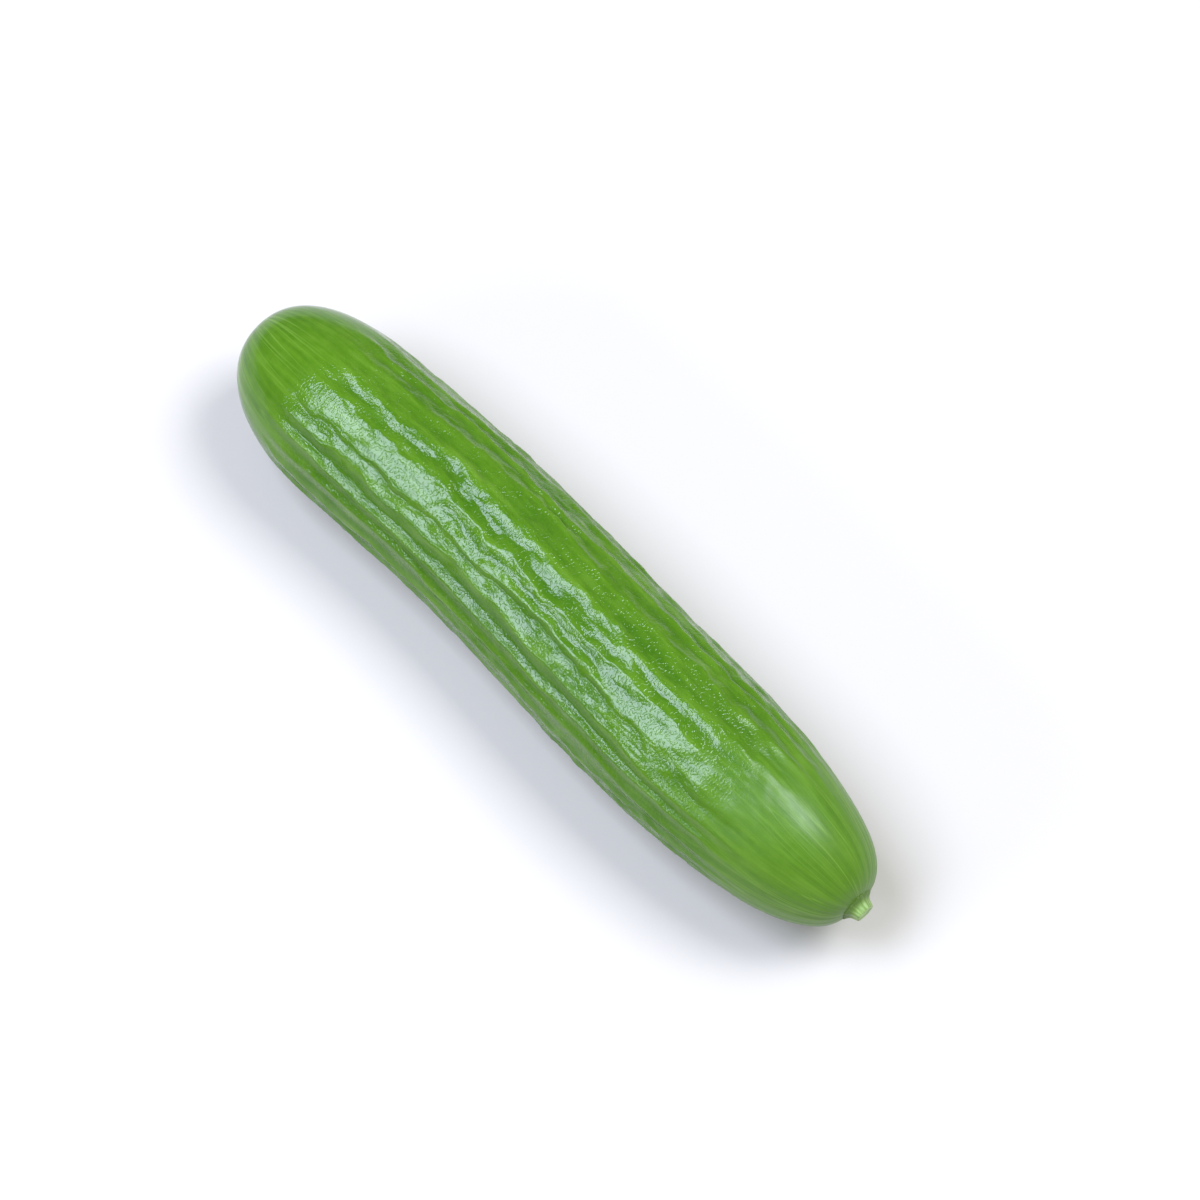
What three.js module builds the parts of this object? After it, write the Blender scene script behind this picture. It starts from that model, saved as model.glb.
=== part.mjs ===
// A mini cucumber as picked: one fruit, grown as one piece, lying on its underside.
// Millimetres, +Z up. +X runs along the fruit, from the blossom end to the cut stalk.
// The origin is under the middle of the fruit, on the surface that it lies on.
import * as THREE from "three";
import { mergeVertices } from "three/addons/utils/BufferGeometryUtils.js";

// The whole fruit
const LENGTH = 160.5; // from the blossom end to the cut face of the stalk
const RADIUS = 16.9; // of the fullest part, on the crests of the ribs
const SLIMMER = 0.02; // share by which the blossom half is slimmer than the fullest part
const FULLEST = 0.67; // where along the length the fruit is fullest
const SIDE_WAVES = [1.22, 0.2, -0.28, -0.4]; // sideways bend, as 1, 2, 3 and 4 half waves
const SIDE_SHIFT = -1.16; // brings the middle of the bent fruit back onto the X axis
const END_RISE = 1.5; // how much higher than the middle the two ends are
const REST_DEPTH = 0.5; // how much of the round underside the resting spot flattens
const UNDERSIDE = [-0.99, -0.88]; // sines of the angles where the underside ends

// The two rounded ends: the smaller the bluntness, the blunter the end
const BLOSSOM_CAP = 27.5;
const BLOSSOM_BLUNTNESS = 0.393;
const STEM_CAP = 49;
const STEM_BLUNTNESS = 0.348;

// The stub of the stalk, cut a little way above the fruit
const STALK_LENGTH = 2.2;
const STALK_FOOT_RADIUS = 3.1;
const STALK_NECK_RADIUS = 2.2;
const STALK_END_RADIUS = 1.8;
const STALK_END_ROUNDING = 0.25;
const STALK_PITH_RADIUS = 0.7; // of the softer middle, which has dried inwards
const STALK_PITH_DEPTH = 0.2;
const STALK_FLUTES = 5;
const STALK_FLUTE_DEPTH = 0.18;
const STALK_SIDE = 0.9; // the stub stands a little beside the middle of the bend
const STALK_DROP = 1.2; // and a little below it
const STALK_BEND_START = 0.9; // share of the length where the fruit turns towards it

// The scar that the flower left, a small raised disc in a shallow dimple
const SCAR_RADIUS = 1.25;
const SCAR_EDGE = 0.35;
const SCAR_HEIGHT = 0.3;
const DIMPLE_DEPTH = 0.55;
const DIMPLE_RADIUS = 2.8;

// The ribs of the skin, by the lines along their crests. First comes where the furrow that follows
// the rib has its floor, as a share of the way to the next crest. Each point of the line is its
// distance from the blossom end, its angle round the fruit in degrees, and that furrow's depth.
// 0 degrees is the +Y side and 90 is the top.
const RIBS = [
  [0.5, [[10, 5, 0.4], [50, 8, 0.5], [95, 4, 0.4], [150, 7, 0.45]]],
  [0.4, [[10, 22, 0.45], [45, 19, 0.4], [80, 23, 0.5], [150, 21, 0.4]]],
  [0.6, [[10, 36, 0.4], [40, 39, 0.45], [75, 35, 0.5], [110, 38, 0.4], [150, 36, 0.45]]],
  [0.5, [[10, 53, 0.4], [50, 50, 0.5], [70, 53, 0.45], [100, 50, 0.45], [150, 48, 0.4]]],
  [0.6, [[10, 69, 0.3], [60, 64, 0.4], [71, 60, 0.45], [80, 66, 0.4], [98, 67, 0.5],
    [112, 65, 0.5], [120, 68, 0.5], [128, 64, 0.5], [136, 61, 0.45], [150, 58, 0.4]]],
  [0.6, [[10, 84, 0.5], [30, 83, 0.55], [38, 85.5, 0.5], [44, 82, 0.55], [52, 81, 0.75],
    [60, 83.5, 0.8], [66, 85.5, 0.7], [71, 81, 0.65], [75, 82, 0.6], [79, 87, 0.65],
    [84, 86.5, 0.6], [95, 86, 0.55], [98, 89, 0.55], [111, 89.5, 0.5], [122, 83, 0.3],
    [150, 78, 0.1]]],
  [0.5, [[10, 100, 0.02], [45, 100, 0.02], [53, 99, 0.05], [56, 105, 0.5], [60, 103, 0.6],
    [64, 104, 0.6], [67, 107, 0.45], [72, 103, 0.6], [76, 106, 0.55], [85, 105, 0.6],
    [97, 104, 0.6], [103, 102, 0.5], [110, 102, 0.4], [122, 103, 0.15], [150, 100, 0.1]]],
  [0.28, [[10, 119, 0.4], [25, 118, 0.42], [35, 119, 0.42], [50, 119.5, 0.45], [55, 118, 0.4],
    [62, 119, 0.35], [70, 119, 0.45], [76, 118, 0.6], [84, 115, 0.65], [90, 119, 0.55],
    [97, 116, 0.6], [103, 119, 0.5], [108, 119, 0.4], [114, 120, 0.4], [122, 119, 0.4],
    [127, 124, 0.3], [150, 122, 0.3]]],
  [0.5, [[10, 131, 0.5], [28, 132, 0.6], [34, 128, 0.6], [38, 127.5, 0.6], [44, 132, 0.6],
    [55, 133, 0.65], [66, 131, 0.65], [75, 132.5, 0.65], [80, 134, 0.65], [88, 135, 0.65],
    [92, 133.5, 0.65], [104, 136, 0.6], [108, 135, 0.6], [118, 140, 0.5], [150, 138, 0.4]]],
  [0.45, [[10, 146, 0.5], [28, 144, 0.5], [34, 146.5, 0.55], [50, 147, 0.55], [66, 147.5, 0.55],
    [75, 149.5, 0.5], [82, 148.5, 0.5], [90, 151, 0.5], [98, 147, 0.5], [115, 149, 0.45],
    [150, 152, 0.4]]],
  [0.5, [[10, 158, 0.45], [57, 157, 0.5], [64, 161, 0.5], [84, 160, 0.5], [102, 158, 0.45],
    [125, 163, 0.45], [150, 165, 0.4]]],
  [0.6, [[10, 172, 0.45], [45, 174, 0.5], [80, 171, 0.45], [115, 175, 0.5], [150, 176, 0.4]]],
  [0.4, [[10, 188, 0.4], [40, 186, 0.5], [85, 190, 0.45], [150, 189, 0.45]]],
  [0.5, [[10, 203, 0.45], [55, 206, 0.4], [100, 202, 0.5], [150, 205, 0.4]]],
  [0.6, [[10, 221, 0.4], [50, 219, 0.5], [105, 223, 0.4], [150, 220, 0.45]]],
  [0.5, [[10, 237, 0.45], [75, 235, 0.5], [150, 238, 0.4]]],
  [0.5, [[10, 253, 0.4], [70, 255, 0.4], [150, 252, 0.4]]],
  [0.5, [[10, 270, 0.4], [150, 268, 0.4]]],
  [0.5, [[10, 286, 0.4], [80, 284, 0.45], [150, 287, 0.4]]],
  [0.4, [[10, 302, 0.45], [60, 300, 0.4], [105, 304, 0.5], [150, 301, 0.4]]],
  [0.6, [[10, 316, 0.4], [45, 319, 0.5], [90, 315, 0.4], [150, 318, 0.45]]],
  [0.5, [[10, 333, 0.45], [50, 330, 0.45], [100, 334, 0.5], [150, 331, 0.4]]],
  [0.4, [[10, 348, 0.4], [60, 350, 0.5], [90, 346, 0.45], [150, 349, 0.4]]],
];
const FURROW_SHARPNESS = 1.6; // 1 gives flat sides, and more gives steeper ones at the crests
const CREST_ROUNDING = 0.25; // share of the way down to the floor over which a crest is round
const RIB_FADE = [0.09, 0.17, 0.8, 0.93]; // shares of the length where the ribs start and end

// Wrinkles are long low swellings and dents, scattered over the middle of the fruit
const WRINKLES = 200;
const WRINKLE_HEIGHT = [0.05, 0.14];
const WRINKLE_LENGTH = [3, 7];
const WRINKLE_WIDTH = [1, 1.9];
const WRINKLE_SLANT = [-0.17, 0.17]; // how far one leans from the fruit's length
const DENT_SHARE = 0.8; // how deep a dent is beside the height of a swelling
const WRINKLE_FADE = [0.1, 0.26, 0.74, 0.9];

// The mesh: sides around the fruit, and steps along its profile from end to end
const SIDES = 96;
const STEPS = 50;

const SKIN = { color: 0x4f8a24, roughness: 0.38, metalness: 0 };

const BODY_LENGTH = LENGTH - STALK_LENGTH;
const TURN = 2 * Math.PI;

// A random number in a range, from a sequence that is the same on each run
let seed = 2024;
function draw([low, high]) {
  seed = (seed * 16807) % 2147483647;
  return low + ((high - low) * seed) / 2147483647;
}

// The way round from one angle to another, from minus to plus half a turn
function turnBetween(a, b) {
  const turns = (a - b) / TURN;
  return (turns - Math.round(turns)) * TURN;
}

// Goes smoothly from 0 at a to 1 at b, whichever of the two is the larger
function ease(x, a, b) {
  return a < b ? THREE.MathUtils.smoothstep(x, a, b) : 1 - THREE.MathUtils.smoothstep(x, b, a);
}

// Comes in over the first two shares of the length, and goes out over the last two
function fade(u, [start, full, waning, end]) {
  return ease(u, start, full) * ease(u, end, waning);
}

// How far a round end has opened at a distance from its tip, from 0 to 1
function capShare(distance, length, bluntness) {
  const left = 1 - Math.min(1, Math.max(0, distance / length));
  return (1 - left * left) ** bluntness;
}

// The radius without its ends rounded off
function fullRadius(along) {
  return RADIUS * (1 - SLIMMER * ease(along / BODY_LENGTH, FULLEST, 0));
}

function bodyRadius(along) {
  const blossom = capShare(along, BLOSSOM_CAP, BLOSSOM_BLUNTNESS);
  const stem = capShare(BODY_LENGTH - along, STEM_CAP, STEM_BLUNTNESS);
  return fullRadius(along) * blossom * stem;
}

// Where a rib's crest is at a distance along the fruit, and how deep the furrow after it is
function ribAt([floor, line], along) {
  let [, degrees, depth] = line[0];
  for (let i = 1; i < line.length; i++) {
    const [start, degreesBefore, depthBefore] = line[i - 1];
    const [end, degreesAfter, depthAfter] = line[i];
    const share = ease(along, start, end);
    degrees += share * (degreesAfter - degreesBefore);
    depth += share * (depthAfter - depthBefore);
  }
  return { floor, depth, angle: THREE.MathUtils.degToRad(degrees) };
}

// How far below the crests the skin is, between the two ribs that a point lies between
function ribRelief(along, angle) {
  const ribs = RIBS.map((rib) => ribAt(rib, along));
  const gaps = ribs.map((rib) => THREE.MathUtils.euclideanModulo(angle - rib.angle, TURN));
  const nearest = gaps.indexOf(Math.min(...gaps));
  const rib = ribs[nearest];
  const next = ribs[(nearest + 1) % ribs.length];
  const share = gaps[nearest] / THREE.MathUtils.euclideanModulo(next.angle - rib.angle, TURN);
  const way = Math.min(share / rib.floor, (1 - share) / (1 - rib.floor));
  const inwards = Math.hypot(way, CREST_ROUNDING) - CREST_ROUNDING;
  const depth = rib.depth * (1 - (1 - inwards) ** FURROW_SHARPNESS);
  return -depth * fade(along / BODY_LENGTH, RIB_FADE);
}

// Steps of the golden ratio and its like spread the wrinkles evenly, with no rows or gaps
const wrinkles = Array.from({ length: WRINKLES }, (_, i) => ({
  along: BODY_LENGTH * ((i * 0.6180339887) % 1),
  angle: TURN * ((i * 0.7548776662) % 1),
  length: draw(WRINKLE_LENGTH),
  width: draw(WRINKLE_WIDTH),
  slant: draw(WRINKLE_SLANT),
  height: draw(WRINKLE_HEIGHT) * (i % 2 ? 1 : -DENT_SHARE),
}));

function wrinkleRelief(along, angle) {
  let relief = 0;
  for (const wrinkle of wrinkles) {
    const lengthwise = along - wrinkle.along;
    const sideways = RADIUS * turnBetween(angle, wrinkle.angle) - wrinkle.slant * lengthwise;
    const distance = (lengthwise / wrinkle.length) ** 2 + (sideways / wrinkle.width) ** 2;
    relief += wrinkle.height * Math.exp(-distance);
  }
  return relief * fade(along / BODY_LENGTH, WRINKLE_FADE);
}

// How far the flower's scar and its dimple move the skin along the axis, inwards
function scarRelief(radius) {
  const dimple = DIMPLE_DEPTH * Math.exp(-((radius / DIMPLE_RADIUS) ** 2));
  return dimple - SCAR_HEIGHT * ease(radius, SCAR_RADIUS + SCAR_EDGE, SCAR_RADIUS);
}

class BodyProfile extends THREE.Curve {
  getPoint(t) {
    const along = (BODY_LENGTH * (1 - Math.cos(Math.PI * t))) / 2;
    return new THREE.Vector2(bodyRadius(along), along);
  }
}

// The profile from the blossom end to the stalk's cut face, each point a radius and a distance
function profilePoints() {
  const body = new BodyProfile();
  body.arcLengthDivisions = 2000;
  const scar = [0, 0.5 * SCAR_RADIUS, SCAR_RADIUS, SCAR_RADIUS + SCAR_EDGE, 2 * SCAR_RADIUS];
  const stalk = [
    [STALK_FOOT_RADIUS, 0],
    [(STALK_FOOT_RADIUS + STALK_NECK_RADIUS) / 2, 0.2 * STALK_LENGTH],
    [STALK_NECK_RADIUS, 0.5 * STALK_LENGTH],
    [STALK_END_RADIUS, STALK_LENGTH - STALK_END_ROUNDING],
    [STALK_END_RADIUS - STALK_END_ROUNDING, STALK_LENGTH],
    [STALK_PITH_RADIUS, STALK_LENGTH - STALK_PITH_DEPTH],
    [0, STALK_LENGTH - STALK_PITH_DEPTH],
  ];
  return [
    ...scar.map((radius) => new THREE.Vector2(radius, 0)),
    ...body.getSpacedPoints(STEPS).filter((point) => point.x > 1.1 * STALK_FOOT_RADIUS),
    ...stalk.map(([radius, out]) => new THREE.Vector2(radius, BODY_LENGTH + out)),
  ];
}

// How far the skin stands out from the plain turned shape
function relief(along, radius, angle) {
  if (along >= BODY_LENGTH) {
    const flute = STALK_FLUTE_DEPTH * Math.cos(STALK_FLUTES * angle);
    return flute * ease(radius, STALK_PITH_RADIUS, STALK_END_RADIUS);
  }
  const off = ease(Math.sin(angle), ...UNDERSIDE);
  return (off * radius * (ribRelief(along, angle) + wrinkleRelief(along, angle))) / RADIUS;
}

// A point of the plain turned shape, moved to where it is on the grown fruit
function grow(along, radius, angle) {
  const u = Math.min(1, along / BODY_LENGTH);
  const r = radius + relief(along, radius, angle);
  const x = along < BLOSSOM_CAP ? along + scarRelief(radius) : along;
  const nearStalk = ease(u, STALK_BEND_START, 1);
  let side = SIDE_SHIFT + STALK_SIDE * nearStalk;
  SIDE_WAVES.forEach((wave, k) => {
    side += wave * Math.sin(Math.PI * (k + 1) * u);
  });
  const rise = END_RISE * (2 * u - 1) ** 2 - STALK_DROP * nearStalk;
  const height = fullRadius(u * BODY_LENGTH) - REST_DEPTH + rise;
  return new THREE.Vector3(
    x - LENGTH / 2,
    side + r * Math.cos(angle),
    Math.max(0, height + r * Math.sin(angle)),
  );
}

function cucumberGeometry() {
  const turned = new THREE.LatheGeometry(profilePoints(), SIDES);
  turned.deleteAttribute("normal");
  turned.deleteAttribute("uv");
  const position = turned.getAttribute("position");
  for (let i = 0; i < position.count; i++) {
    const up = position.getX(i);
    const across = position.getZ(i);
    const grown = grow(position.getY(i), Math.hypot(up, across), Math.atan2(up, across));
    position.setXYZ(i, grown.x, grown.y, grown.z);
  }
  const closed = mergeVertices(turned, 1e-3);
  closed.computeVertexNormals();
  return closed;
}

const cucumber = new THREE.Mesh(cucumberGeometry(), new THREE.MeshStandardMaterial(SKIN));
cucumber.name = "cucumber";

const part = new THREE.Group();
part.add(cucumber);

export default part;
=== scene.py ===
import itertools
import math

import bmesh
import bpy
import numpy as np
from mathutils import Matrix, Vector


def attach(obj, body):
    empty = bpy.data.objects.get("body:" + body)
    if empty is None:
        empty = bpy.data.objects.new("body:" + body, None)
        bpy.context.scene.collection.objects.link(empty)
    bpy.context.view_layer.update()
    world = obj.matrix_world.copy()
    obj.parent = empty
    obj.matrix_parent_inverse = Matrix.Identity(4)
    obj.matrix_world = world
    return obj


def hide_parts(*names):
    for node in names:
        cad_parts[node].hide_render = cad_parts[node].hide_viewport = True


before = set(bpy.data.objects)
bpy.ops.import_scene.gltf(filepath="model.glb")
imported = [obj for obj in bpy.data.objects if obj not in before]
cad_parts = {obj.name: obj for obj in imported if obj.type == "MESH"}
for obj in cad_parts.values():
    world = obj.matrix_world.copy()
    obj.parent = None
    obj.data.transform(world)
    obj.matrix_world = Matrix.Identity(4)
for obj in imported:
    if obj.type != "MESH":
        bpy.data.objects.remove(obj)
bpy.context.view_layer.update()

# The fruit's skin: one closed green body, grown as a swelling tube with a blunt blossom end and a
# longer taper to the stalk. It is turned as a plain body of revolution along X. Each point is then
# moved out to where it grew: on a bent middle line, with furrows, wrinkles and fine creases.
MM = 0.001
LENGTH = 160.5 * MM
STALK_LENGTH = 2.2 * MM
BODY_LENGTH = LENGTH - STALK_LENGTH
RADIUS = 16.9 * MM
SLIMMER = 0.02  # share by which the fruit is thinner at the blossom end
FULLEST = 0.67  # share of the length from which it has its full radius
SIDE_WAVES = [1.22 * MM, 0.2 * MM, -0.28 * MM, -0.4 * MM]  # its bends, as one to four half waves
SIDE_SHIFT = -1.16 * MM
END_RISE = 1.5 * MM
REST_DEPTH = 0.5 * MM  # how far the underside is pressed flat where it lies
UNDERSIDE = [-0.99, -0.88]  # sines of the angles over which the furrows come in beside that flat
BLOSSOM_CAP = 27.5 * MM
BLOSSOM_BLUNTNESS = 0.393  # 0.5 rounds an end like an ellipse, and less is blunter
STEM_CAP = 49 * MM
STEM_BLUNTNESS = 0.348
STALK_SIDE = 0.9 * MM  # how far the stalk stands off the middle line, sideways and down
STALK_DROP = 1.2 * MM
STALK_BEND_START = 0.9

# The ribs, by the lines along their crests. First comes where the furrow that follows the rib has
# its floor, as a share of the way to the next crest. Each point of the line is its distance from
# the blossom end in mm, its angle round the fruit in degrees, and that furrow's depth in mm.
RIBS = [
    (0.5, [(10, 5, 0.4), (50, 8, 0.5), (95, 4, 0.4), (150, 7, 0.45)]),
    (0.4, [(10, 22, 0.45), (45, 19, 0.4), (80, 23, 0.5), (150, 21, 0.4)]),
    (0.6, [(10, 36, 0.4), (40, 39, 0.45), (75, 35, 0.5), (110, 38, 0.4), (150, 36, 0.45)]),
    (0.5, [(10, 53, 0.4), (50, 50, 0.5), (70, 53, 0.45), (100, 50, 0.45), (150, 48, 0.4)]),
    (0.6, [(10, 69, 0.3), (60, 64, 0.4), (71, 60, 0.45), (80, 66, 0.4), (98, 67, 0.5),
           (112, 65, 0.5), (120, 68, 0.5), (128, 64, 0.5), (136, 61, 0.45), (150, 58, 0.4)]),
    (0.6, [(10, 84, 0.5), (30, 83, 0.55), (38, 85.5, 0.5), (44, 82, 0.55), (52, 81, 0.75),
           (60, 83.5, 0.8), (66, 85.5, 0.7), (71, 81, 0.65), (75, 82, 0.6), (79, 87, 0.65),
           (84, 86.5, 0.6), (95, 86, 0.55), (98, 89, 0.55), (111, 89.5, 0.5), (122, 83, 0.3),
           (150, 78, 0.1)]),
    (0.5, [(10, 100, 0.02), (45, 100, 0.02), (53, 99, 0.05), (56, 105, 0.5), (60, 103, 0.6),
           (64, 104, 0.6), (67, 107, 0.45), (72, 103, 0.6), (76, 106, 0.55), (85, 105, 0.6),
           (97, 104, 0.6), (103, 102, 0.5), (110, 102, 0.4), (122, 103, 0.15), (150, 100, 0.1)]),
    (0.28, [(10, 119, 0.4), (25, 118, 0.42), (35, 119, 0.42), (50, 119.5, 0.45), (55, 118, 0.4),
            (62, 119, 0.35), (70, 119, 0.45), (76, 118, 0.6), (84, 115, 0.65), (90, 119, 0.55),
            (97, 116, 0.6), (103, 119, 0.5), (108, 119, 0.4), (114, 120, 0.4), (122, 119, 0.4),
            (127, 124, 0.3), (150, 122, 0.3)]),
    (0.5, [(10, 131, 0.5), (28, 132, 0.6), (34, 128, 0.6), (38, 127.5, 0.6), (44, 132, 0.6),
           (55, 133, 0.65), (66, 131, 0.65), (75, 132.5, 0.65), (80, 134, 0.65), (88, 135, 0.65),
           (92, 133.5, 0.65), (104, 136, 0.6), (108, 135, 0.6), (118, 140, 0.5), (150, 138, 0.4)]),
    (0.45, [(10, 146, 0.5), (28, 144, 0.5), (34, 146.5, 0.55), (50, 147, 0.55), (66, 147.5, 0.55),
            (75, 149.5, 0.5), (82, 148.5, 0.5), (90, 151, 0.5), (98, 147, 0.5), (115, 149, 0.45),
            (150, 152, 0.4)]),
    (0.5, [(10, 158, 0.45), (57, 157, 0.5), (64, 161, 0.5), (84, 160, 0.5), (102, 158, 0.45),
           (125, 163, 0.45), (150, 165, 0.4)]),
    (0.6, [(10, 172, 0.45), (45, 174, 0.5), (80, 171, 0.45), (115, 175, 0.5), (150, 176, 0.4)]),
    (0.4, [(10, 188, 0.4), (40, 186, 0.5), (85, 190, 0.45), (150, 189, 0.45)]),
    (0.5, [(10, 203, 0.45), (55, 206, 0.4), (100, 202, 0.5), (150, 205, 0.4)]),
    (0.6, [(10, 221, 0.4), (50, 219, 0.5), (105, 223, 0.4), (150, 220, 0.45)]),
    (0.5, [(10, 237, 0.45), (75, 235, 0.5), (150, 238, 0.4)]),
    (0.5, [(10, 253, 0.4), (70, 255, 0.4), (150, 252, 0.4)]),
    (0.5, [(10, 270, 0.4), (150, 268, 0.4)]),
    (0.5, [(10, 286, 0.4), (80, 284, 0.45), (150, 287, 0.4)]),
    (0.4, [(10, 302, 0.45), (60, 300, 0.4), (105, 304, 0.5), (150, 301, 0.4)]),
    (0.6, [(10, 316, 0.4), (45, 319, 0.5), (90, 315, 0.4), (150, 318, 0.45)]),
    (0.5, [(10, 333, 0.45), (50, 330, 0.45), (100, 334, 0.5), (150, 331, 0.4)]),
    (0.4, [(10, 348, 0.4), (60, 350, 0.5), (90, 346, 0.45), (150, 349, 0.4)]),
]
FURROW_SHARPNESS = 1.6  # 1 has flat sides, and more has steep ones at the crests
CREST_ROUNDING = 0.07
RIB_FADE = [0.09, 0.17, 0.8, 0.93]

WRINKLES = 200
WRINKLE_HEIGHT = [0.05 * MM, 0.14 * MM]
WRINKLE_LENGTH = [3 * MM, 7 * MM]
WRINKLE_WIDTH = [1 * MM, 1.9 * MM]
WRINKLE_SLANT = [-0.17, 0.17]
DENT_SHARE = 0.8  # depth of the wrinkles that are dents, by the height of the others
WRINKLE_FADE = [0.1, 0.26, 0.74, 0.9]
STEP_ALONG, STEP_ROUND = 0.6180339887, 0.7548776662  # these spread the wrinkles evenly

# Noise is given by the size of its blobs along and across the fruit, and by a shift of its own.
BROAD_WAVER = (7 * MM, 6 * MM, 3.7)
BROAD_WAVER_ANGLE = math.radians(3.2)
NARROW_WAVER = (2.6 * MM, 2 * MM, 7.9)
NARROW_WAVER_ANGLE = math.radians(2.2)
COARSE_CREASES = (5 * MM, 2.2 * MM, 11.3)
COARSE_CREASE_HEIGHT = 0.19 * MM
FINE_CREASES = (2.2 * MM, 1.1 * MM, 29.1)
FINE_CREASE_HEIGHT = 0.11 * MM
CREASED_PATCHES = (15 * MM, 7 * MM, 47.9)
PATCH_EDGES = [-0.35, 0.3]
SHARE_OFF_PATCHES = 0.4  # of the fine creases' height that is left between the patches
FOLD_DEPTH = 0.08 * MM
FOLD_WIDTH = 0.12  # how near its middle value the coarse noise is in a fold
CREASE_FADE = [0.09, 0.22, 0.78, 0.92]
SMOOTH_SIDE = [131, 139, 163, 172]  # degrees over which the lines and creases grow calmer, and back
CALMER = 0.7

DIMPLE_DEPTH = 0.55 * MM
DIMPLE_RADIUS = 2.8 * MM
RAY_DEPTH = 0.05 * MM  # of the fine grooves that run out from both ends
STALK_RAYS = 1.6  # how many times deeper they are at the stalk
BROAD_RAYS = (1, 0.11, 61.7)
NARROW_RAYS = (1, 0.05, 71.7)
NARROW_RAY_SHARE = 0.6
CLEAR_OF_SCAR = [1.5 * MM, 4 * MM]  # radii over which the grooves come in
CLEAR_OF_STALK = [2.5 * MM, 4 * MM]
REACH_FROM_SCAR = [26 * MM, 6 * MM]  # distances from the end over which they go out
REACH_FROM_STALK = [24 * MM, 1 * MM]

SKIN_SIDES = 360
SKIN_STEPS = 262
PROFILE_SAMPLES = 6001
MERGE_DISTANCE = 0.001 * MM
TURN = 2 * math.pi
LATTICE_SIZE = 256
LATTICE = np.random.default_rng(5).permutation(LATTICE_SIZE)
LATTICE_SLOPES = np.random.default_rng(6).normal(size=(LATTICE_SIZE, 3))
DRAW_FACTOR, DRAW_COUNT = 16807, 2147483647
seed = 2024


def draw(limits):
    """A random number between two limits, from a sequence that is the same on each run."""
    global seed
    seed = (seed * DRAW_FACTOR) % DRAW_COUNT
    return limits[0] + (limits[1] - limits[0]) * seed / DRAW_COUNT


def ease(x, a, b):
    """Goes smoothly from 0 at a to 1 at b, whichever of the two is the larger."""
    t = np.clip((x - a) / (b - a), 0, 1)
    return t * t * (3 - 2 * t)


def fade(u, shares):
    """Comes in over the first two shares of the length, and goes out over the last two."""
    return ease(u, shares[0], shares[1]) * ease(u, shares[3], shares[2])


def turn_between(a, b):
    """The angle from b to a, the shorter way round."""
    turns = (a - b) / TURN
    return (turns - np.round(turns)) * TURN


def full_radius(along):
    """The radius that the body would have here without its rounded ends."""
    return RADIUS * (1 - SLIMMER * ease(along / BODY_LENGTH, FULLEST, 0))


def cap_share(distance, length, bluntness):
    """The share of the full radius that is left this far from a rounded end."""
    left = 1 - np.clip(distance / length, 0, 1)
    return (1 - left * left) ** bluntness


def body_radius(along):
    blossom = cap_share(along, BLOSSOM_CAP, BLOSSOM_BLUNTNESS)
    stem = cap_share(BODY_LENGTH - along, STEM_CAP, STEM_BLUNTNESS)
    return full_radius(along) * blossom * stem


def middle_line(along):
    """Side and height of the fruit's bent middle line."""
    u = np.clip(along / BODY_LENGTH, 0, 1)
    near_stalk = ease(u, STALK_BEND_START, 1)
    side = SIDE_SHIFT + STALK_SIDE * near_stalk
    for k, wave in enumerate(SIDE_WAVES):
        side = side + wave * np.sin(math.pi * (k + 1) * u)
    rise = END_RISE * (2 * u - 1) ** 2 - STALK_DROP * near_stalk
    return side, full_radius(u * BODY_LENGTH) - REST_DEPTH + rise


def rib_relief(along, angle):
    """How far below the crests the skin is, between the two ribs that a point lies between."""
    lines = []
    for floor, rib in RIBS:
        at, degrees, depth = rib[0]
        line = np.stack([degrees + 0 * along, depth + 0 * along])
        for (a, *low), (b, *high) in zip(rib, rib[1:]):
            share = ease(along / MM, a, b)
            line += np.outer(np.subtract(high, low), share)
        lines.append(line)
    crests = np.radians([line[0] for line in lines])
    depths = MM * np.array([line[1] for line in lines])
    gaps = (angle - crests) % TURN
    nearest = np.argmin(gaps, axis=0)
    points = np.arange(len(along))
    following = crests[(nearest + 1) % len(RIBS), points]
    share = gaps[nearest, points] / ((following - crests[nearest, points]) % TURN)
    floors = np.array([rib[0] for rib in RIBS])[nearest]
    inwards = np.minimum(share / floors, (1 - share) / (1 - floors))
    inwards = np.hypot(inwards, CREST_ROUNDING) - CREST_ROUNDING
    depth = 1 - np.clip(1 - inwards, 0, 1) ** FURROW_SHARPNESS
    return -depth * depths[nearest, points] * fade(along / BODY_LENGTH, RIB_FADE)


def wrinkle_relief(along, angle):
    """Long low bumps and dents, scattered over the skin."""
    relief = np.zeros_like(along)
    for i in range(WRINKLES):
        start = BODY_LENGTH * (i * STEP_ALONG % 1)
        side = TURN * (i * STEP_ROUND % 1)
        length = draw(WRINKLE_LENGTH)
        width = draw(WRINKLE_WIDTH)
        slant = draw(WRINKLE_SLANT)
        height = draw(WRINKLE_HEIGHT) * (1 if i % 2 else -DENT_SHARE)
        lengthwise = along - start
        sideways = RADIUS * turn_between(angle, side) - slant * lengthwise
        relief += height * np.exp(-(lengthwise / length) ** 2 - (sideways / width) ** 2)
    return relief * fade(along / BODY_LENGTH, WRINKLE_FADE)


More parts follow.
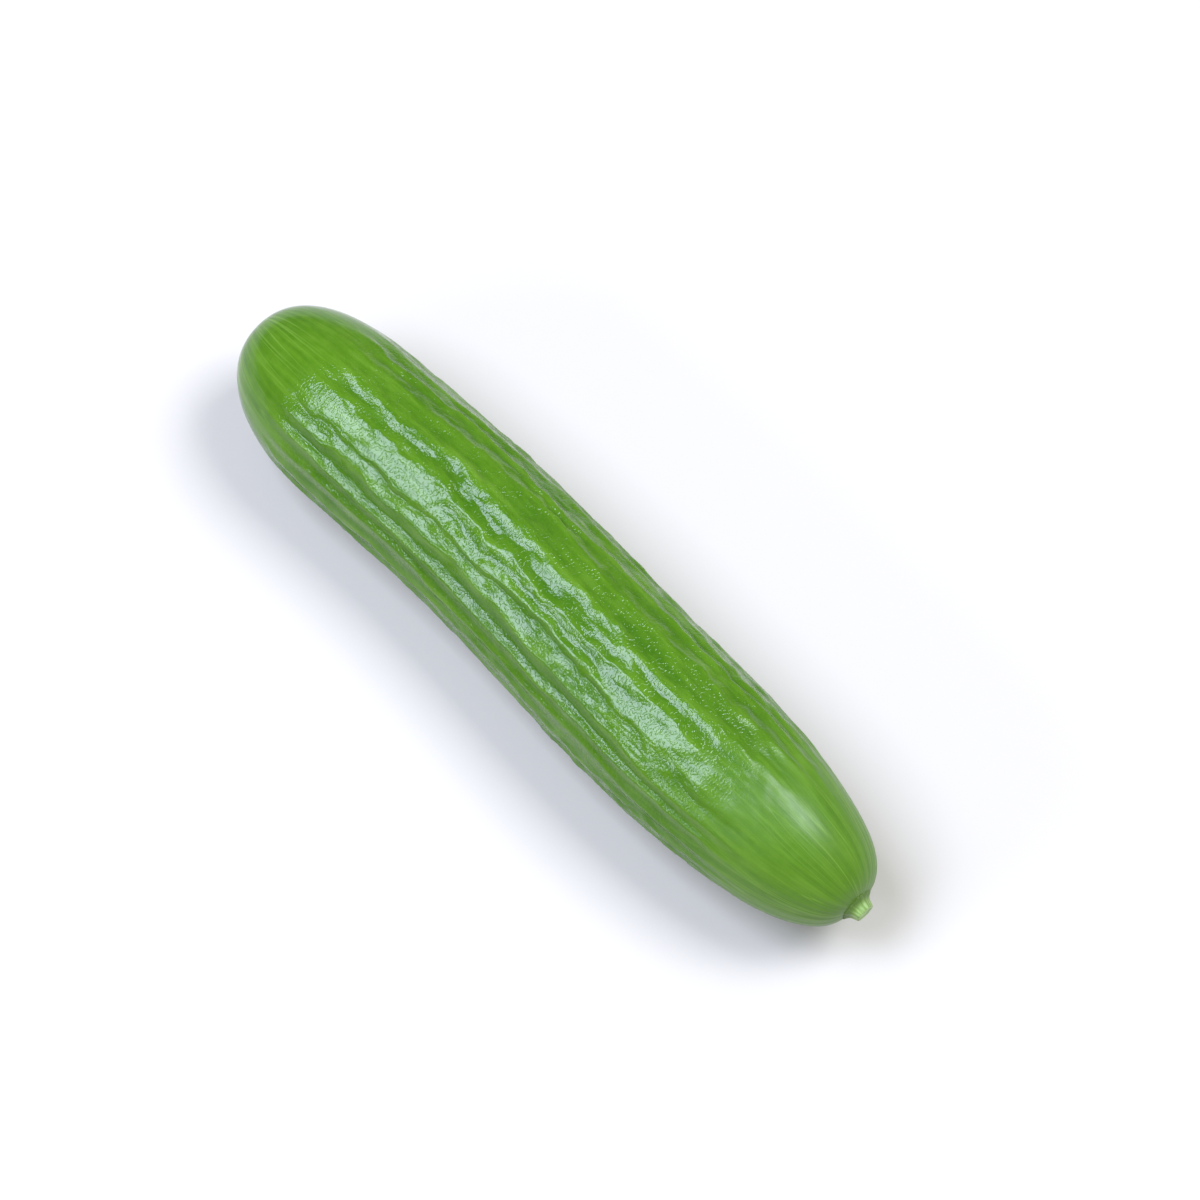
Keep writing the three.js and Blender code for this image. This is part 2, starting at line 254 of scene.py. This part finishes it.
def noise_field(points, lengthwise, crosswise, shift):
    """Smooth noise whose blobs are drawn out along the fruit, one value for each point."""
    moved = points / np.array([lengthwise, crosswise, crosswise]) + shift
    cell = np.floor(moved).astype(int)
    within = moved - cell
    total = 0
    for corner in itertools.product((0, 1), repeat=3):
        x, y, z = (cell + corner).T
        picked = LATTICE[x % LATTICE_SIZE]
        picked = LATTICE[(picked + y) % LATTICE_SIZE]
        picked = LATTICE[(picked + z) % LATTICE_SIZE]
        away = within - corner
        weight = np.prod(ease(np.abs(away), 1, 0), axis=1)
        total = total + weight * np.sum(LATTICE_SLOPES[picked] * away, axis=1)
    return total


def warp(points):
    """How much the ribs' lines stray from smooth ones, as an angle."""
    broad = BROAD_WAVER_ANGLE * noise_field(points, *BROAD_WAVER)
    return broad + NARROW_WAVER_ANGLE * noise_field(points, *NARROW_WAVER)


def crease_relief(points, along):
    """Low islands of skin with little folds between them."""
    coarse = noise_field(points, *COARSE_CREASES)
    fine = noise_field(points, *FINE_CREASES)
    patches = ease(noise_field(points, *CREASED_PATCHES), *PATCH_EDGES)
    folds = np.exp(-(coarse / FOLD_WIDTH) ** 2) * patches
    relief = COARSE_CREASE_HEIGHT * coarse - FOLD_DEPTH * folds
    share = SHARE_OFF_PATCHES + (1 - SHARE_OFF_PATCHES) * patches
    relief += FINE_CREASE_HEIGHT * fine * share
    return relief * fade(along / BODY_LENGTH, CREASE_FADE)


def end_rays(along, radius, angle):
    """Fine grooves that run out over both ends, from the scar and from the stalk."""
    around = np.stack([along * 0 + 0.5, np.cos(angle), np.sin(angle)], -1)
    rays = noise_field(around, *BROAD_RAYS) + NARROW_RAY_SHARE * noise_field(around, *NARROW_RAYS)
    near_scar = ease(radius, *CLEAR_OF_SCAR) * ease(along, *REACH_FROM_SCAR)
    near_stalk = ease(radius, *CLEAR_OF_STALK) * ease(BODY_LENGTH - along, *REACH_FROM_STALK)
    return RAY_DEPTH * rays * (near_scar + STALK_RAYS * near_stalk)


def turned_body(name, profile, sides):
    """A closed body of revolution round X. The profile is a list of (distance, radius)."""
    bm = bmesh.new()
    verts = [bm.verts.new((x, 0, r)) for x, r in profile]
    edges = [bm.edges.new(pair) for pair in zip(verts, verts[1:])]
    bmesh.ops.spin(bm, geom=verts + edges, cent=(0, 0, 0), axis=(1, 0, 0), angle=TURN,
                   steps=sides, use_merge=True)
    bmesh.ops.remove_doubles(bm, verts=bm.verts, dist=MERGE_DISTANCE)
    bmesh.ops.recalc_face_normals(bm, faces=bm.faces)
    mesh = bpy.data.meshes.new(name)
    bm.to_mesh(mesh)
    bm.free()
    mesh.shade_smooth()
    piece = bpy.data.objects.new(name, mesh)
    bpy.context.scene.collection.objects.link(piece)
    return piece


def get_points(mesh):
    co = np.empty(3 * len(mesh.vertices))
    mesh.vertices.foreach_get("co", co)
    return co.reshape(-1, 3)


def set_points(mesh, points):
    mesh.vertices.foreach_set("co", points.ravel())
    mesh.update()


def add_attribute(mesh, name, values):
    """Keeps a number or a vector for each point, for the materials to read."""
    kind = "FLOAT_VECTOR" if values.ndim == 2 else "FLOAT"
    attribute = mesh.attributes.new(name, kind, "POINT")
    key = "vector" if values.ndim == 2 else "value"
    attribute.data.foreach_set(key, values.astype(np.float32).ravel())


def even_profile(steps):
    """Points on the body's profile at even distances along its curve."""
    along = BODY_LENGTH * (1 - np.cos(np.linspace(0, math.pi, PROFILE_SAMPLES))) / 2
    radius = body_radius(along)
    run = np.concatenate([[0], np.cumsum(np.hypot(np.diff(along), np.diff(radius)))])
    at = np.interp(np.linspace(0, run[-1], steps + 1), run, along)
    return [(x, float(body_radius(x))) for x in at]


skin = turned_body("cucumber_skin", even_profile(SKIN_STEPS), SKIN_SIDES)
plain = get_points(skin.data)
along = plain[:, 0]
radius = np.hypot(plain[:, 1], plain[:, 2])
angle = np.arctan2(plain[:, 2], plain[:, 1])
on_cylinder = np.stack([along, RADIUS * np.cos(angle), RADIUS * np.sin(angle)], -1)
rough = 1 - CALMER * fade(np.degrees(angle) % 360, SMOOTH_SIDE)
furrowed = rib_relief(along, angle + rough * warp(on_cylinder)) + wrinkle_relief(along, angle)
creased = rough * crease_relief(on_cylinder, along)
off_underside = ease(np.sin(angle), *UNDERSIDE)
relief = off_underside * (furrowed + creased) * radius / RADIUS
relief += off_underside * end_rays(along, radius, angle)
grown = radius + relief
side, height = middle_line(along)
in_dimple = np.where(along < BLOSSOM_CAP, DIMPLE_DEPTH * np.exp(-(radius / DIMPLE_RADIUS) ** 2), 0)
skin_points = np.stack([
    along + in_dimple - LENGTH / 2,
    side + grown * np.cos(angle),
    np.maximum(0, height + grown * np.sin(angle)),
], -1)
set_points(skin.data, skin_points)
add_attribute(skin.data, "relief", relief / MM)
add_attribute(skin.data, "grain", np.stack([along / RADIUS, np.cos(angle), np.sin(angle)], -1))


def put(tree, kind, inputs=None, **settings):
    """Adds a shader node. Each input is a plain value or another node's output."""
    made = tree.nodes.new(kind)
    for name, value in settings.items():
        setattr(made, name, value)
    for key, value in (inputs or {}).items():
        if isinstance(value, bpy.types.NodeSocket):
            tree.links.new(value, made.inputs[key])
        else:
            made.inputs[key].default_value = value
    return made


def ranged(tree, value, low, high, to_low=0.0, to_high=1.0):
    """The value, carried smoothly from one range to another and held at its ends."""
    inputs = {0: value, 1: low, 2: high, 3: to_low, 4: to_high}
    return put(tree, "ShaderNodeMapRange", inputs, interpolation_type="SMOOTHSTEP").outputs[0]


def mixed(tree, share, a, b):
    """One colour with a share of another."""
    return put(tree, "ShaderNodeMix", {0: share, 6: a, 7: b}, data_type="RGBA").outputs[2]


def maths(tree, operation, a, b=0.0):
    return put(tree, "ShaderNodeMath", {0: a, 1: b}, operation=operation).outputs[0]


def noisy(tree, vector, scale, detail=3.0, roughness=0.55):
    inputs = {"Vector": vector, "Scale": scale, "Detail": detail, "Roughness": roughness}
    return put(tree, "ShaderNodeTexNoise", inputs).outputs["Fac"]


def bumped(tree, height, distance, strength=1.0, under=None):
    inputs = {"Height": height, "Distance": distance, "Strength": strength}
    if under is not None:
        inputs["Normal"] = under
    return put(tree, "ShaderNodeBump", inputs).outputs[0]


def new_material(name):
    material = bpy.data.materials.new(name)
    material.use_nodes = True
    return material, material.node_tree, material.node_tree.nodes["Principled BSDF"]


def add_tissue_group():
    """The cells of the plant's tissue, as soft-edged patches and as a height."""
    group = bpy.data.node_groups.new("plant tissue", "ShaderNodeTree")
    group.interface.new_socket("Vector", in_out="INPUT", socket_type="NodeSocketVector")
    group.interface.new_socket("Scale", in_out="INPUT", socket_type="NodeSocketFloat")
    group.interface.new_socket("Patches", in_out="OUTPUT", socket_type="NodeSocketFloat")
    group.interface.new_socket("Height", in_out="OUTPUT", socket_type="NodeSocketFloat")
    given = group.nodes.new("NodeGroupInput").outputs
    cells = noisy(group, given["Vector"], given["Scale"], detail=3.0, roughness=0.6)
    result = group.nodes.new("NodeGroupOutput")
    group.links.new(ranged(group, cells, 0.35, 0.7), result.inputs["Patches"])
    group.links.new(cells, result.inputs["Height"])
    return group


tissue_group = add_tissue_group()


def tissue(tree, vector, scale):
    made = put(tree, "ShaderNodeGroup", node_tree=tissue_group)
    made.inputs["Scale"].default_value = scale
    tree.links.new(vector, made.inputs["Vector"])
    return made.outputs


def stretched(tree, vector, lengthwise):
    return put(tree, "ShaderNodeMapping", {"Vector": vector, "Scale": (lengthwise, 1, 1)}).outputs[0]


MID_GREEN = (0.074, 0.185, 0.005, 1)
DEEP_GREEN = (0.031, 0.112, 0.002, 1)
PALE_GREEN = (0.155, 0.290, 0.032, 1)
# The largest shares of the other greens
DEEP_IN_STREAKS = 0.5
PALE_IN_STREAKS = 0.3
# In the furrows the green is painted darker: partly the skin's own deeper green, partly painted shade
DEEP_GREEN_AND_SHADE_IN_FURROWS = 0.65
PALE_IN_CELLS = 0.12
PALE_IN_VEINS = 0.6
PALE_AT_STALK = 0.2
# Distances from the blossom end over which the finish changes, in the fruit's radii
BLOSSOM_END = [1.6, 0.1]
STALK_END = [7.2, 9.3]
WAXY_END = [6.6, 8.6]
PORES_START = [0.7, 1.6]
PORES_STOP = [8.1, 7.2]
# Relief depths over which the furrows' painted shade and deeper green come in
SHADED_FURROW_DEPTHS = [-0.1, -0.7]  # mm
VEIN_EDGES = [0.016, 0.003]
GLOSS = [0.09, 0.15]  # roughness of the wet-looking skin
WAX_ROUGHNESS = 0.24  # added where the skin is waxy
STREAK_HEIGHT = 0.03 * MM
PORE_HEIGHT = 0.032 * MM
SKIN_IOR = 1.4
FLESH_GLOW = 0.1
FLESH_GLOW_RADIUS = (0.4, 1.0, 0.15)
FLESH_GLOW_DEPTH = 2 * MM

skin_material, tree, surface = new_material("cucumber skin")
grain = put(tree, "ShaderNodeAttribute", attribute_name="grain").outputs["Vector"]
relief_value = put(tree, "ShaderNodeAttribute", attribute_name="relief").outputs["Fac"]
distance = put(tree, "ShaderNodeSeparateXYZ", {0: grain}).outputs[0]
place = put(tree, "ShaderNodeTexCoord").outputs["Object"]
near_blossom = ranged(tree, distance, *BLOSSOM_END)
near_stalk = ranged(tree, distance, *STALK_END)

streaks = noisy(tree, stretched(tree, grain, 0.12), 9.0, detail=5.0, roughness=0.62)
deep_streaks = ranged(tree, streaks, 0.4, 0.7, to_high=DEEP_IN_STREAKS)
pale_streaks = ranged(tree, streaks, 0.5, 0.3, to_high=PALE_IN_STREAKS)
# Painted shade in the furrows, together with the skin's deeper green there
furrow_shade_and_deep_green = ranged(tree, relief_value, *SHADED_FURROW_DEPTHS, to_high=DEEP_GREEN_AND_SHADE_IN_FURROWS)
mottle = tissue(tree, place, 420.0)["Patches"]
colour = mixed(tree, deep_streaks, MID_GREEN, DEEP_GREEN)
colour = mixed(tree, pale_streaks, colour, PALE_GREEN)
colour = mixed(tree, furrow_shade_and_deep_green, colour, DEEP_GREEN)
colour = mixed(tree, maths(tree, "MULTIPLY", mottle, PALE_IN_CELLS), colour, PALE_GREEN)

# Thin pale lines follow the veins under the skin, out from both ends
veins = noisy(tree, stretched(tree, grain, 0.06), 5.5, detail=1.0, roughness=0.5)
away_from_vein = maths(tree, "ABSOLUTE", maths(tree, "SUBTRACT", veins, 0.5))
vein = ranged(tree, away_from_vein, *VEIN_EDGES)
at_ends = maths(tree, "MAXIMUM", near_blossom, near_stalk)
vein = maths(tree, "MULTIPLY", maths(tree, "MULTIPLY", vein, at_ends), PALE_IN_VEINS)
colour = mixed(tree, vein, colour, PALE_GREEN)
colour = mixed(tree, maths(tree, "MULTIPLY", near_stalk, PALE_AT_STALK), colour, PALE_GREEN)
tree.links.new(colour, surface.inputs["Base Color"])

# The gloss is broken by fine streaks and pores, and a bloom of wax dulls it towards the stalk
fine_streaks = noisy(tree, stretched(tree, grain, 0.14), 60.0, detail=3.0, roughness=0.6)
roughness = ranged(tree, fine_streaks, 0.3, 0.7, *GLOSS)
waxy = maths(tree, "MULTIPLY", ranged(tree, distance, *WAXY_END), WAX_ROUGHNESS)
roughness = maths(tree, "ADD", roughness, waxy)
tree.links.new(roughness, surface.inputs["Roughness"])
pores = ranged(tree, noisy(tree, stretched(tree, place, 1.3), 1800.0, detail=0.0), 0.45, 0.7)
from_blossom = ranged(tree, distance, *PORES_START)
to_stalk = ranged(tree, distance, *PORES_STOP)
pores = maths(tree, "MULTIPLY", pores, maths(tree, "MULTIPLY", from_blossom, to_stalk))
normal = bumped(tree, fine_streaks, STREAK_HEIGHT, 0.5)
normal = bumped(tree, pores, PORE_HEIGHT, 1.0, normal)
tree.links.new(normal, surface.inputs["Normal"])
surface.inputs["IOR"].default_value = SKIN_IOR
surface.inputs["Subsurface Weight"].default_value = FLESH_GLOW
surface.inputs["Subsurface Radius"].default_value = FLESH_GLOW_RADIUS
surface.inputs["Subsurface Scale"].default_value = FLESH_GLOW_DEPTH
skin.data.materials.append(skin_material)
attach(skin, "root")
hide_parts("cucumber")

# The scar where the flower dropped off: a dry cream disc with a raised rim and a sunken dark point,
# grown into the dimple of the blossom end. Its back is sunk into the fruit.
SCAR_PROFILE = [(0.95, 0), (0.95, 1.3), (0.55, 1.42), (0.36, 1.34), (0.24, 1.18), (0.19, 1.02),
                (0.22, 0.88), (0.31, 0.74), (0.36, 0.55), (0.35, 0.36), (0.38, 0.24), (0.47, 0.14),
                (0.5, 0)]
SCAR_SIDES = 72
SCAR_LONGEST_EDGE = 0.1 * MM
SCAR_RAGGED = 0.05  # share by which the rim's outline wanders
SCAR_OUTLINE = (1, 0.45, 5.1)
SCAR_PITS = (0.3 * MM, 0.3 * MM, 8.3)
SCAR_PIT_DEPTH = 0.03 * MM
DRY_CREAM = (0.62, 0.70, 0.38, 1)
DRY_TAN = (0.42, 0.46, 0.18, 1)
POINT_BROWN = (0.22, 0.19, 0.06, 1)
EDGE_GREEN = (0.105, 0.21, 0.02, 1)
POINT_EDGES = [0.35, 0.1]  # mm from the middle
RIM_EDGES = [1.15, 1.4]


def refine(mesh, longest_edge):
    """Halves the edges that are longer than this, and rounds the surface between them."""
    bm = bmesh.new()
    bm.from_mesh(mesh)
    long_edges = [e for e in bm.edges if e.calc_length() > longest_edge]
    bmesh.ops.subdivide_edges(bm, edges=long_edges, cuts=1, smooth=0.6, use_grid_fill=True)
    bm.to_mesh(mesh)
    bm.free()


scar = turned_body("blossom_scar", [(x * MM, r * MM) for x, r in SCAR_PROFILE], SCAR_SIDES)
refine(scar.data, SCAR_LONGEST_EDGE)
points = get_points(scar.data)
radius = np.hypot(points[:, 1], points[:, 2])
angle = np.arctan2(points[:, 2], points[:, 1])
circle = np.stack([0 * angle, np.cos(angle), np.sin(angle)], -1)
grown = radius * (1 + SCAR_RAGGED * noise_field(circle, *SCAR_OUTLINE))
pitted = SCAR_PIT_DEPTH * noise_field(points, *SCAR_PITS)
side, height = middle_line(0.0)
set_points(scar.data, np.stack([
    points[:, 0] + pitted - LENGTH / 2,
    side + grown * np.cos(angle),
    height + grown * np.sin(angle),
], -1))
add_attribute(scar.data, "from_middle", radius / MM)
scar.data.shade_smooth()
scar_material, tree, surface = new_material("dry scar")
from_middle = put(tree, "ShaderNodeAttribute", attribute_name="from_middle").outputs["Fac"]
place = put(tree, "ShaderNodeTexCoord").outputs["Object"]
speckle = tissue(tree, place, 3000.0)
colour = mixed(tree, speckle["Patches"], DRY_CREAM, DRY_TAN)
colour = mixed(tree, ranged(tree, from_middle, *POINT_EDGES), colour, POINT_BROWN)
colour = mixed(tree, ranged(tree, from_middle, *RIM_EDGES), colour, EDGE_GREEN)
tree.links.new(colour, surface.inputs["Base Color"])
tree.links.new(ranged(tree, speckle["Patches"], 0, 1, 0.55, 0.8), surface.inputs["Roughness"])
tree.links.new(bumped(tree, speckle["Height"], 0.05 * MM, 0.7), surface.inputs["Normal"])
scar.data.materials.append(scar_material)
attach(scar, "root")
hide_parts("cucumber")

# The stub of the stalk: a short fluted piece of green stem, cut square with a knife. A ragged collar
# spreads from its foot over the skin, and its root is sunk into the fruit.
STUB_PROFILE = [(-1.6, 0), (-1.6, 2.3), (-0.5, 3.25), (-0.15, 3.3), (0.05, 3.08), (0.25, 2.8),
                (0.6, 2.45), (1.1, 2.17), (1.6, 1.98), (1.95, 1.86), (2.13, 1.74), (2.2, 1.56),
                (2.16, 1.4), (2.06, 1.1), (2.02, 0.75), (1.94, 0.45), (1.92, 0)]
STUB_SIDES = 120
STUB_LONGEST_EDGE = 0.25 * MM
FLUTES = 5
FLUTE_DEPTH = 0.12 * MM
FLUTES_FROM = [0.9 * MM, 1.8 * MM]  # radii over which the flutes come in
BROAD_FRINGE = (1, 0.16, 17.3)
NARROW_FRINGE = (1, 0.07, 23.9)
NARROW_FRINGE_SHARE = 0.5
FRINGE_DEPTH = 0.3 * MM
FOOT_HEIGHT = [0.6 * MM, 0.0]
FOOT_RADIUS = [2 * MM, 3 * MM]
FIBRES = (1.4 * MM, 0.28 * MM, 31.1)
FIBRE_HEIGHT = 0.045 * MM
CUT_MARKS = (0.5 * MM, 0.35 * MM, 2.9)
CUT_MARK_DEPTH = 0.05 * MM
CUT_FACE = [1.7 * MM, 2.0 * MM]
BARK_GREEN = (0.16, 0.27, 0.045, 1)
BARK_PALE = (0.28, 0.42, 0.13, 1)
FOOT_GREEN = (0.075, 0.155, 0.012, 1)
CUT_GREEN = (0.32, 0.47, 0.17, 1)
CUT_PALE = (0.42, 0.55, 0.27, 1)
RING_GREEN = (0.20, 0.36, 0.07, 1)
# Where these colours lie, in mm out from the skin or from the middle of the cut
FOOT_COLOUR = [1.4, 0.1]
RING_INSIDE = [0.85, 1.1]
RING_OUTSIDE = [1.5, 1.25]
CUT_STARTS = [1.6, 1.9]
CUT_STOPS = [1.85, 1.6]

stub = turned_body("stalk_stub", [(x * MM, r * MM) for x, r in STUB_PROFILE], STUB_SIDES)
refine(stub.data, STUB_LONGEST_EDGE)
points = get_points(stub.data)
out = points[:, 0]
radius = np.hypot(points[:, 1], points[:, 2])
angle = np.arctan2(points[:, 2], points[:, 1])
circle = np.stack([0 * angle, np.cos(angle), np.sin(angle)], -1)
fringe = noise_field(circle, *BROAD_FRINGE)
fringe = fringe + NARROW_FRINGE_SHARE * noise_field(circle, *NARROW_FRINGE)
at_foot = ease(out, *FOOT_HEIGHT) * ease(radius, *FOOT_RADIUS)
ragged = FRINGE_DEPTH * fringe * at_foot + FIBRE_HEIGHT * noise_field(points, *FIBRES)
grown = radius + FLUTE_DEPTH * np.cos(FLUTES * angle) * ease(radius, *FLUTES_FROM)
grown = grown + ragged * ease(radius, 0, 1.5 * MM)
marked = CUT_MARK_DEPTH * noise_field(points, *CUT_MARKS) * ease(out, *CUT_FACE)
side, height = middle_line(BODY_LENGTH)
set_points(stub.data, np.stack([
    BODY_LENGTH - LENGTH / 2 + out + marked,
    side + grown * np.cos(angle),
    height + grown * np.sin(angle),
], -1))
add_attribute(stub.data, "from_middle", radius / MM)
add_attribute(stub.data, "out", out / MM)
add_attribute(stub.data, "grain", np.stack([out / RADIUS, np.cos(angle), np.sin(angle)], -1))
stub.data.shade_smooth()
stub_material, tree, surface = new_material("cut stalk")
from_middle = put(tree, "ShaderNodeAttribute", attribute_name="from_middle").outputs["Fac"]
out_value = put(tree, "ShaderNodeAttribute", attribute_name="out").outputs["Fac"]
grain = put(tree, "ShaderNodeAttribute", attribute_name="grain").outputs["Vector"]
place = put(tree, "ShaderNodeTexCoord").outputs["Object"]
strands = noisy(tree, grain, 5.0, detail=3.0, roughness=0.6)
pith = tissue(tree, place, 2200.0)
bark = mixed(tree, ranged(tree, strands, 0.36, 0.64), BARK_GREEN, BARK_PALE)
bark = mixed(tree, ranged(tree, out_value, *FOOT_COLOUR, to_high=0.9), bark, FOOT_GREEN)
past_inside = ranged(tree, from_middle, *RING_INSIDE)
ring = maths(tree, "MULTIPLY", past_inside, ranged(tree, from_middle, *RING_OUTSIDE))
cut = mixed(tree, pith["Patches"], CUT_GREEN, CUT_PALE)
cut = mixed(tree, maths(tree, "MULTIPLY", ring, 0.6), cut, RING_GREEN)
past_side = ranged(tree, out_value, *CUT_STARTS)
on_face = maths(tree, "MULTIPLY", past_side, ranged(tree, from_middle, *CUT_STOPS))
tree.links.new(mixed(tree, on_face, bark, cut), surface.inputs["Base Color"])
tree.links.new(ranged(tree, pith["Patches"], 0, 1, 0.42, 0.65), surface.inputs["Roughness"])
normal = bumped(tree, strands, 0.1 * MM, 0.5)
normal = bumped(tree, pith["Height"], 0.06 * MM, 0.7, normal)
tree.links.new(normal, surface.inputs["Normal"])
stub.data.materials.append(stub_material)
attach(stub, "root")
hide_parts("cucumber")

# The floor that the fruit lies on: one flat sheet, plain and pale. It reaches far past the view, so
# that it has no edge in the picture. It only shows the fruit off and is no part of it.
FLOOR_REACH = 15  # metres to each side
FLOOR_TONE = (0.60, 0.56, 0.49, 1)  # the strong lamps make it look white
bm = bmesh.new()
bmesh.ops.create_grid(bm, x_segments=1, y_segments=1, size=FLOOR_REACH)
floor_mesh = bpy.data.meshes.new("floor")
bm.to_mesh(floor_mesh)
bm.free()
floor = bpy.data.objects.new("floor", floor_mesh)
bpy.context.scene.collection.objects.link(floor)
floor_material, tree, surface = new_material("floor")
surface.inputs["Base Color"].default_value = FLOOR_TONE
surface.inputs["Roughness"].default_value = 0.7
floor.data.materials.append(floor_material)

# The camera looks down on the fruit from the stalk's side, through a long lens. Its height is judged.
# Its side, its distance and its aim are fitted, so that the fruit's outline lies in the frame
# as it does in the photograph.
AZIMUTH, ELEVATION = math.radians(46.4), math.radians(67)
DISTANCE = 614.8 * MM
AIM_HEIGHT, AIM_RIGHT, AIM_UP = 15 * MM, 8.07 * MM, 2.59 * MM
LENS = 100  # mm, on the usual 36 mm frame
back = Vector((math.sin(AZIMUTH) * math.cos(ELEVATION), -math.cos(AZIMUTH) * math.cos(ELEVATION),
               math.sin(ELEVATION)))
right = Vector((math.cos(AZIMUTH), math.sin(AZIMUTH), 0))
up = back.cross(right)
aim = Vector((0, 0, AIM_HEIGHT)) + AIM_RIGHT * right + AIM_UP * up
camera_data = bpy.data.cameras.new("camera")
camera_data.lens = LENS
camera_data.clip_start = 0.01
camera = bpy.data.objects.new("camera", camera_data)
camera.location = aim + DISTANCE * back
camera.rotation_euler = (-back).to_track_quat("-Z", "Y").to_euler()
bpy.context.scene.collection.objects.link(camera)
bpy.context.scene.camera = camera

# The light: three soft lamps, whose reflections are the bright streaks along the crests, in a plain
# white room. The lamps themselves stay out of the camera's sight.
COOL_WHITE = (0.67, 0.74, 1.0)
PALE_WHITE = (0.82, 0.88, 1.0)
ROOM_WHITE = (1.0, 0.98, 0.94, 1)
ROOM_STRENGTH = 0.3


def softbox(name, towards, distance, length, width, radiance, colour):
    """A soft lamp that shines on the fruit from a direction, its length along the fruit."""
    lamp = bpy.data.lights.new(name, "AREA")
    lamp.shape = "RECTANGLE"
    lamp.size, lamp.size_y = length, width
    lamp.energy = radiance * math.pi * length * width
    lamp.color = colour
    thing = bpy.data.objects.new(name, lamp)
    outward = Vector(towards).normalized()
    lengthwise = (Vector((1, 0, 0)) - outward.x * outward).normalized()
    turned = Matrix((lengthwise, outward.cross(lengthwise), outward)).transposed()
    thing.matrix_world = Matrix.Translation(distance * outward) @ turned.to_4x4()
    thing.visible_camera = False
    bpy.context.scene.collection.objects.link(thing)


softbox("key_softbox", towards=(-0.283, -0.34, 0.897), distance=1.1, length=0.46, width=0.68,
        radiance=15.0, colour=COOL_WHITE)
softbox("left_softbox", towards=(-0.283, -0.83, 0.48), distance=1.0, length=0.45, width=0.13,
        radiance=16.0, colour=COOL_WHITE)
softbox("far_softbox", towards=(0.25, 0.42, 0.872), distance=1.2, length=0.5, width=0.5,
        radiance=17.0, colour=PALE_WHITE)
world = bpy.data.worlds.new("white_room")
world.use_nodes = True
background = world.node_tree.nodes["Background"]
background.inputs["Color"].default_value = ROOM_WHITE
background.inputs["Strength"].default_value = ROOM_STRENGTH
bpy.context.scene.world = world
bpy.context.scene.view_settings.view_transform = "Standard"
